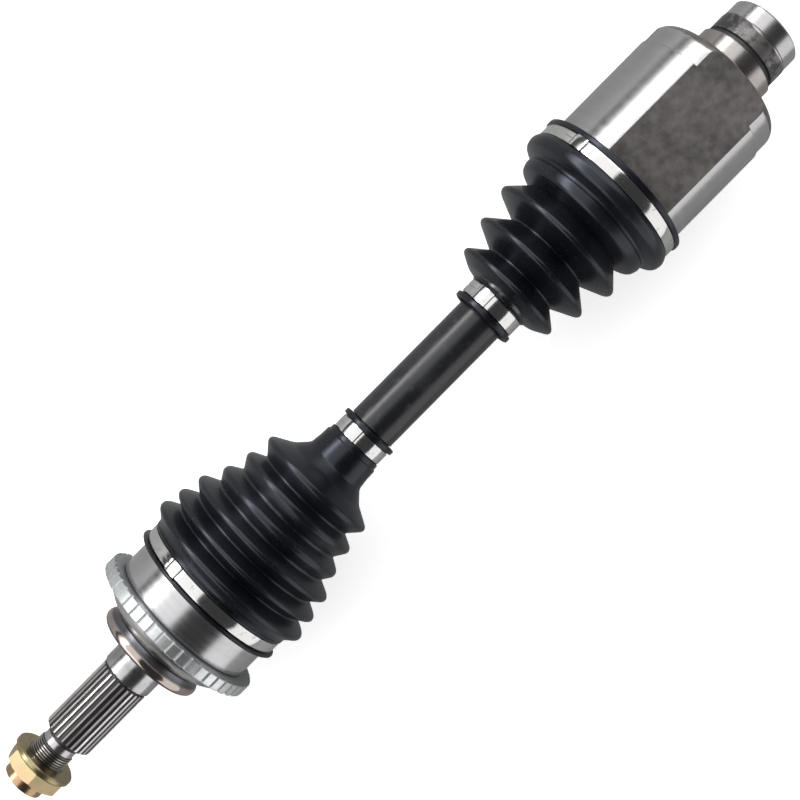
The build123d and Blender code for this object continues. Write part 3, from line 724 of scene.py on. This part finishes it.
# %% Finish of the nut
def yellow_zinc():
    f = Finish("yellow_zinc", 1.0, (0.45, 0.35, 0.20), 0.33)
    film = node(f.tree, "ShaderNodeTexNoise")
    f.tree.links.new(f.point, film.inputs["Vector"])
    film.inputs["Scale"].default_value = 85.0
    film.inputs["Detail"].default_value = 3.0
    film.inputs["Distortion"].default_value = 0.6
    pink = mapped(f.tree, film.outputs["Fac"], 0.50, 0.66)
    green = mapped(f.tree, film.outputs["Fac"], 0.46, 0.34)
    f.lay(pink, (0.50, 0.335, 0.20), 0.31, 0.8)
    f.lay(green, (0.37, 0.35, 0.195), 0.36, 0.7)
    collar = f.band(f.along, -0.0930, -0.0859, 0.0004)
    f.lay(collar, (0.54, 0.35, 0.21), 0.22, 0.7)
    flange = f.band(f.along, -0.0778, -0.0730, 0.0004)
    f.lay(flange, (0.38, 0.33, 0.19), 0.27, 0.6)
    # Painted shade: the inside of the bore is darkened.
    bore_painted_shade = f.band(f.radius, 0.0, 0.0117, 0.0004)
    f.lay(bore_painted_shade, (0.22, 0.19, 0.15), 0.4, 0.85)
    rings = f.group(ring_group, Along=f.along, Place=f.point, Rings_per_metre=2600.0)
    grain = f.group(scale_group, Place=f.point, Size=420.0)
    f.shade(grain.outputs["Shade"], 0.93, 1.05)
    f.raise_by(rings.outputs["Height"], 0.30)
    f.raise_by(grain.outputs["Height"], 0.35)
    return f.done(0.012)


paint(bright_zinc(), steel["abs_tone_ring"])
paint(yellow_zinc(), steel["axle_nut"])


# %% [markdown]
# ## The tripod housing
# Its three lobes were turned bright after forging, and the flats between them keep their dark
# forging scale. The flats lie closer to the centre line than the turned lobes, so the distance
# from the line tells the two apart. Behind it, the sleeve is bright at its root fillet, rough
# and dark in the middle and ground at its end.

# %% Finish of the tripod housing
def housing_steel():
    f = Finish("housing_steel", 1.0, (0.52, 0.51, 0.515), 0.22)
    rings = f.group(ring_group, Along=f.along, Place=f.point, Rings_per_metre=3600.0)
    scale = f.group(scale_group, Place=f.point, Size=420.0)
    patches = f.group(scale_group, Place=f.point, Size=60.0)
    dirt = f.group(dirt_group, Place=f.point, Amount=0.4)
    f.shade(rings.outputs["Streak"], 0.97, 1.03)
    f.rough = mapped(f.tree, rings.outputs["Streak"], 0.0, 1.0, 0.21, 0.25, "LINEAR")
    f.lay(dirt.outputs["Dirt"], (0.34, 0.33, 0.325), 0.34, 0.4)
    body_zone = f.band(f.along, 0.3600, 0.4512, 0.0006)
    jitter = mapped(f.tree, scale.outputs["Shade"], 0.0, 1.0, -0.00007, 0.00007, "LINEAR")
    wavy_radius = math(f.tree, "ADD", f.radius, jitter)
    low_part = f.band(wavy_radius, 0.0372, 0.04345, 0.0003)
    wide_length = f.band(f.along, 0.3600, 0.4353, 0.0002)
    before_step = math(f.tree, "MULTIPLY", wide_length, f.band(f.radius, 0.0372, 0.0446, 0.0001))
    unturned = math(f.tree, "MAXIMUM", low_part, before_step)
    flats = math(f.tree, "MULTIPLY", body_zone, unturned)
    both = math(f.tree, "ADD", scale.outputs["Shade"], patches.outputs["Shade"])
    tone = mapped(f.tree, both, 0.2, 1.8, 0.0, 1.0, "LINEAR")
    scale_colour = node(f.tree, "ShaderNodeMix", data_type="RGBA")
    f.tree.links.new(tone, scale_colour.inputs[0])
    scale_colour.inputs[6].default_value = (0.105, 0.098, 0.093, 1)
    scale_colour.inputs[7].default_value = (0.215, 0.200, 0.192, 1)
    scale_rough = mapped(f.tree, tone, 0.0, 1.0, 0.40, 0.50, "LINEAR")
    f.lay(flats, scale_colour.outputs[2], scale_rough, metal=0.35)
    ragged = mapped(f.tree, patches.outputs["Shade"], 0.0, 1.0, -0.0016, 0.0016, "LINEAR")
    ragged_along = math(f.tree, "ADD", f.along, ragged)
    rough_band = f.band(ragged_along, 0.4672, 0.4796, 0.0005)
    burnt = node(f.tree, "ShaderNodeMix", data_type="RGBA")
    f.tree.links.new(mapped(f.tree, both, 0.70, 1.45), burnt.inputs[0])
    burnt.inputs[6].default_value = (0.045, 0.043, 0.045, 1)
    burnt.inputs[7].default_value = (0.20, 0.185, 0.18, 1)
    f.lay(rough_band, burnt.outputs[2], 0.36, 0.95, metal=0.7)
    bright_fillet = f.band(f.along, 0.4520, 0.4662, 0.0006)
    f.lay(bright_fillet, (0.47, 0.445, 0.43), 0.22, 0.8)
    f.lay(math(f.tree, "MULTIPLY", bright_fillet, patches.outputs["Shade"]), (0.30, 0.25, 0.22), 0.34, 0.5)
    # Painted shade: the groove in the sleeve is darkened nearly to black.
    groove_painted_shade = f.band(f.along, 0.4664, 0.4700, 0.0005)
    f.lay(groove_painted_shade, (0.04, 0.04, 0.04), 0.45, 0.8)
    # Painted shade: a dark line at the edge where the ground journal starts.
    journal_edge_painted_shade = f.band(f.along, 0.4796, 0.4804, 0.0001)
    f.lay(journal_edge_painted_shade, (0.08, 0.075, 0.07), 0.4, 0.7)
    # Painted shade: the wall of the step in the lobes is darkened.
    step_painted_shade = f.band(f.along, 0.43515, 0.43585, 0.0001)
    lobe = f.band(f.radius, 0.0434, 0.0460, 0.0001)
    f.lay(math(f.tree, "MULTIPLY", step_painted_shade, lobe), (0.16, 0.16, 0.16), 0.4, 0.6)
    dark_parts = math(f.tree, "MAXIMUM", flats, rough_band)
    f.raise_by(math(f.tree, "MULTIPLY", scale.outputs["Height"], dark_parts), 1.6)
    bright_parts = math(f.tree, "SUBTRACT", 1.0, dark_parts, clamp=True)
    f.raise_by(math(f.tree, "MULTIPLY", rings.outputs["Height"], bright_parts), 0.04)
    return f.done(0.012)


paint(housing_steel(), steel["tripod_housing"])


# %% [markdown]
# ## Painted bar, rubber, bands and bearings
# The bar has satin black paint with a faint orange-peel. The boots are moulded rubber with a
# grey bloom in patches and fine tool marks. The bands are rolled stainless, brushed along
# their length. Balls, rollers and cage are hardened and polished, with a film of grease.

# %% Finish of the painted bar
def black_paint():
    f = Finish("satin_black_paint", 0.0, (0.009, 0.0095, 0.0125), 0.30, Coat_Weight=0.35, Coat_Roughness=0.26)
    peel = node(f.tree, "ShaderNodeTexNoise")
    f.tree.links.new(f.point, peel.inputs["Vector"])
    peel.inputs["Scale"].default_value = 1400.0
    peel.inputs["Detail"].default_value = 2.0
    dirt = f.group(dirt_group, Place=f.point, Amount=0.7)
    f.lay(dirt.outputs["Dirt"], (0.022, 0.022, 0.025), 0.42)
    f.lay(dirt.outputs["Marks"], (0.06, 0.06, 0.06), 0.5, 0.5)
    rings = f.group(ring_group, Along=f.along, Place=f.point, Rings_per_metre=2200.0)
    f.shade(rings.outputs["Streak"], 0.92, 1.08)
    bell_end = f.band(f.along, 0.0, 0.056, 0.0005)
    bare_ends = math(f.tree, "MAXIMUM", bell_end, f.band(f.along, 0.397, 0.44, 0.0005))
    f.lay(bare_ends, (0.30, 0.29, 0.28), 0.3)
    f.tree.links.new(bare_ends, f.shader.inputs["Metallic"])
    f.raise_by(peel.outputs["Fac"], 0.6)
    f.raise_by(rings.outputs["Height"], 0.35)
    return f.done(0.012)


# %% [markdown]
# ## Boot rubber
# Moulded rubber is nearly black and slightly blue where light grazes it, with a soft gloss. The
# gloss comes from the shader's own specular settings. A misty bloom, specks of dust, the
# mould's seam and a fine grain in the bump keep it from looking like plastic.

# %% Finish of the boots
def boot_rubber():
    f = Finish("boot_rubber", 0.0, (0.0040, 0.0044, 0.0062), 0.27,
               Specular_IOR_Level=0.55, Specular_Tint=(0.80, 0.86, 1.0, 1.0))
    skin = node(f.tree, "ShaderNodeTexNoise")
    f.tree.links.new(f.point, skin.inputs["Vector"])
    skin.inputs["Scale"].default_value = 950.0
    skin.inputs["Detail"].default_value = 4.0
    bloom = node(f.tree, "ShaderNodeTexNoise")
    f.tree.links.new(f.point, bloom.inputs["Vector"])
    bloom.inputs["Scale"].default_value = 24.0
    bloom.inputs["Detail"].default_value = 5.0
    misty = mapped(f.tree, bloom.outputs["Fac"], 0.40, 0.72)
    f.lay(misty, (0.0065, 0.0070, 0.0098), 0.31)
    rings = f.group(ring_group, Along=f.along, Place=f.point, Rings_per_metre=1500.0)
    f.shade(rings.outputs["Streak"], 0.90, 1.08)
    dirt = f.group(dirt_group, Place=f.point, Amount=0.5)
    f.lay(dirt.outputs["Marks"], (0.025, 0.025, 0.027), 0.45, 0.5)
    seam = math(f.tree, "ABSOLUTE", math(f.tree, "SINE", f.around))
    seam_line = mapped(f.tree, seam, 0.004, 0.010, 1.0, 0.0)
    f.raise_by(seam_line, 3.0)
    f.raise_by(skin.outputs["Fac"], 0.7)
    f.raise_by(rings.outputs["Height"], 0.5)
    return f.done(0.020)


# %% [markdown]
# ## Clamp bands
# The strip is cold-rolled stainless steel, smooth and bright, with fine scratches along its
# length. The scratches are a noise that changes only along the axle, so they run round the
# band, in the colour, the roughness and a very small bump.

# %% Finish of the clamp bands
def band_steel():
    f = Finish("band_steel", 1.0, (0.76, 0.75, 0.74), 0.12)
    brushed = node(f.tree, "ShaderNodeTexNoise", noise_dimensions="1D")
    f.tree.links.new(math(f.tree, "MULTIPLY", f.along, 7000.0), brushed.inputs["W"])
    brushed.inputs["Scale"].default_value = 1.0
    brushed.inputs["Detail"].default_value = 3.0
    waves = node(f.tree, "ShaderNodeTexNoise")
    f.tree.links.new(f.point, waves.inputs["Vector"])
    waves.inputs["Scale"].default_value = 120.0
    waves.inputs["Detail"].default_value = 2.0
    f.shade(brushed.outputs["Fac"], 0.86, 1.10)
    f.rough = mapped(f.tree, brushed.outputs["Fac"], 0.3, 0.7, 0.09, 0.17, "LINEAR")
    dirt = f.group(dirt_group, Place=f.point, Amount=0.5)
    f.lay(dirt.outputs["Marks"], (0.30, 0.29, 0.28), 0.4, 0.6)
    f.raise_by(brushed.outputs["Fac"], 0.12)
    f.raise_by(waves.outputs["Fac"], 2.0)
    return f.done(0.02)


# %% [markdown]
# ## Hidden pieces
# Balls, rollers, needles and races are hardened and polished, and the adapter in the housing's
# mouth is black plastic. They hardly show, so each takes one plain finish with a little noise.

# %% Finishes of the bearing steel and of the black adapter
def bearing_steel():
    f = Finish("bearing_steel", 1.0, (0.56, 0.56, 0.58), 0.16)
    dirt = f.group(dirt_group, Place=f.point, Amount=0.8)
    fine = f.group(scale_group, Place=f.point, Size=700.0)
    f.shade(fine.outputs["Shade"], 0.94, 1.04)
    f.lay(dirt.outputs["Dirt"], (0.20, 0.17, 0.13), 0.30, 0.7)
    f.raise_by(fine.outputs["Height"], 0.1)
    return f.done(0.008)


def adapter_plastic():
    f = Finish("adapter_plastic", 0.0, (0.022, 0.022, 0.022), 0.5)
    grain = f.group(scale_group, Place=f.point, Size=500.0)
    f.shade(grain.outputs["Shade"], 0.85, 1.15)
    f.raise_by(grain.outputs["Height"], 0.4)
    return f.done(0.03)


painted = {"outer_race", "abs_tone_ring", "axle_nut", "tripod_housing", "axle_shaft", "inner_boot_adapter"}
paint(black_paint(), steel["axle_shaft"])
paint(boot_rubber(), outer_boot, inner_boot_bending, inner_boot_sliding)
paint(band_steel(), *clamp_pieces)
paint(bearing_steel(), *(piece for name, piece in steel.items() if name not in painted))
paint(adapter_plastic(), steel["inner_boot_adapter"])
print(len(bpy.data.materials), "materials")

# %% [markdown]
# ## Studio
# The axle lies on a pale sweep between two long softboxes with a dark gap above it. Polished
# steel shows only what it reflects, so the gap draws the dark stripe along the bright bell and
# bands, and the boxes draw the white ones.

# %% Floor, lights and world
def panel(name, angle, lean, distance, long_side, wide_side, power):
    """A softbox aimed at the axle: angle is its turn round the axle from the camera's side, and
    lean tips it towards the gearbox end."""
    lamp = bpy.data.lights.new(name, "AREA")
    lamp.shape = "RECTANGLE"
    lamp.size, lamp.size_y = long_side, wide_side
    lamp.energy = power
    made = bpy.data.objects.new(name, lamp)
    bpy.context.scene.collection.objects.link(made)
    sideways = toward_camera * cos(radians(angle)) + across * sin(radians(angle))
    direction = sideways * cos(radians(lean)) + Vector((1, 0, 0)) * sin(radians(lean))
    long_way = Vector((1, 0, 0)) * cos(radians(lean)) - sideways * sin(radians(lean))
    made.location = aim + direction * distance
    turn = Matrix((long_way, direction.cross(long_way), direction)).transposed()
    made.rotation_mode = "QUATERNION"
    made.rotation_quaternion = turn.to_quaternion()
    return made


tilt = radians(12.7)
aim = Vector((0.2037, 0, 0))
toward_camera = Vector((0, sin(tilt), cos(tilt)))
across = Vector((0, -cos(tilt), sin(tilt)))

nothing_selected()
bpy.ops.mesh.primitive_plane_add(size=6.0, location=(0.2, 0, -0.0560))
floor = bpy.context.object
floor.name = "studio_floor"
paper = bpy.data.materials.new("studio_paper")
paper.use_nodes = True
paper_shader = paper.node_tree.nodes["Principled BSDF"]
paper_shader.inputs["Roughness"].default_value = 0.9
paper_shader.inputs["Specular IOR Level"].default_value = 0.1
paper_shader.inputs["Emission Color"].default_value = (1, 1, 1, 1)
seen = node(paper.node_tree, "ShaderNodeLightPath").outputs["Is Camera Ray"]
paleness = mapped(paper.node_tree, seen, 0.0, 1.0, 0.42, 0.92, "LINEAR")
shade = node(paper.node_tree, "ShaderNodeCombineColor")
for socket in shade.inputs[:3]:
    paper.node_tree.links.new(paleness, socket)
paper.node_tree.links.new(shade.outputs[0], paper_shader.inputs["Base Color"])
glow = mapped(paper.node_tree, seen, 0.0, 1.0, 0.04, 0.60, "LINEAR")
paper.node_tree.links.new(glow, paper_shader.inputs["Emission Strength"])
paint(paper, floor)

panel("softbox_left", -36, 0, 1.3, 2.6, 2 * 1.3 * tan(radians(31)), 15)
panel("softbox_right", 79, 0, 1.2, 2.6, 2 * 1.2 * tan(radians(23)), 9)
panel("strip_left", -52, 0, 1.25, 1.8, 0.26, 9)
panel("end_left", -30, -58, 1.3, 0.9, 1.1, 5)
panel("end_right", -30, 58, 1.3, 0.9, 1.1, 5)
world = bpy.data.worlds.new("studio")
bpy.context.scene.world = world
world.use_nodes = True
world.node_tree.nodes["Background"].inputs["Color"].default_value = (0.75, 0.77, 0.80, 1)
world_seen = node(world.node_tree, "ShaderNodeLightPath").outputs["Is Camera Ray"]
world_glow = mapped(world.node_tree, world_seen, 0.0, 1.0, 0.06, 1.10, "LINEAR")
world.node_tree.links.new(world_glow, world.node_tree.nodes["Background"].inputs["Strength"])

# %% [markdown]
# ## Camera
# The camera looks down on the lying axle, square to it, from 0.715 m, and is rolled so that the
# gearbox end points up to the right.

# %% Camera
lens_pixels = 1294.0
roll = radians(45.30)
camera_right = Vector((1, 0, 0)) * cos(roll) + across * sin(roll)
camera_up = Vector((1, 0, 0)) * sin(roll) - across * cos(roll)
camera_data = bpy.data.cameras.new("camera")
camera = bpy.data.objects.new("camera", camera_data)
bpy.context.scene.collection.objects.link(camera)
camera_data.sensor_width = 36.0
camera_data.lens = 36.0 * lens_pixels / 800.0
camera_distance = 0.715
camera.location = aim + toward_camera * camera_distance
camera.rotation_mode = "QUATERNION"
camera.rotation_quaternion = Matrix((camera_right, camera_up, toward_camera)).transposed().to_quaternion()
bpy.context.scene.camera = camera
bpy.context.scene.view_settings.view_transform = "Standard"
print("camera at", tuple(round(v, 3) for v in camera.location), "lens", round(camera_data.lens, 1), "mm")

# %% Import json
import json
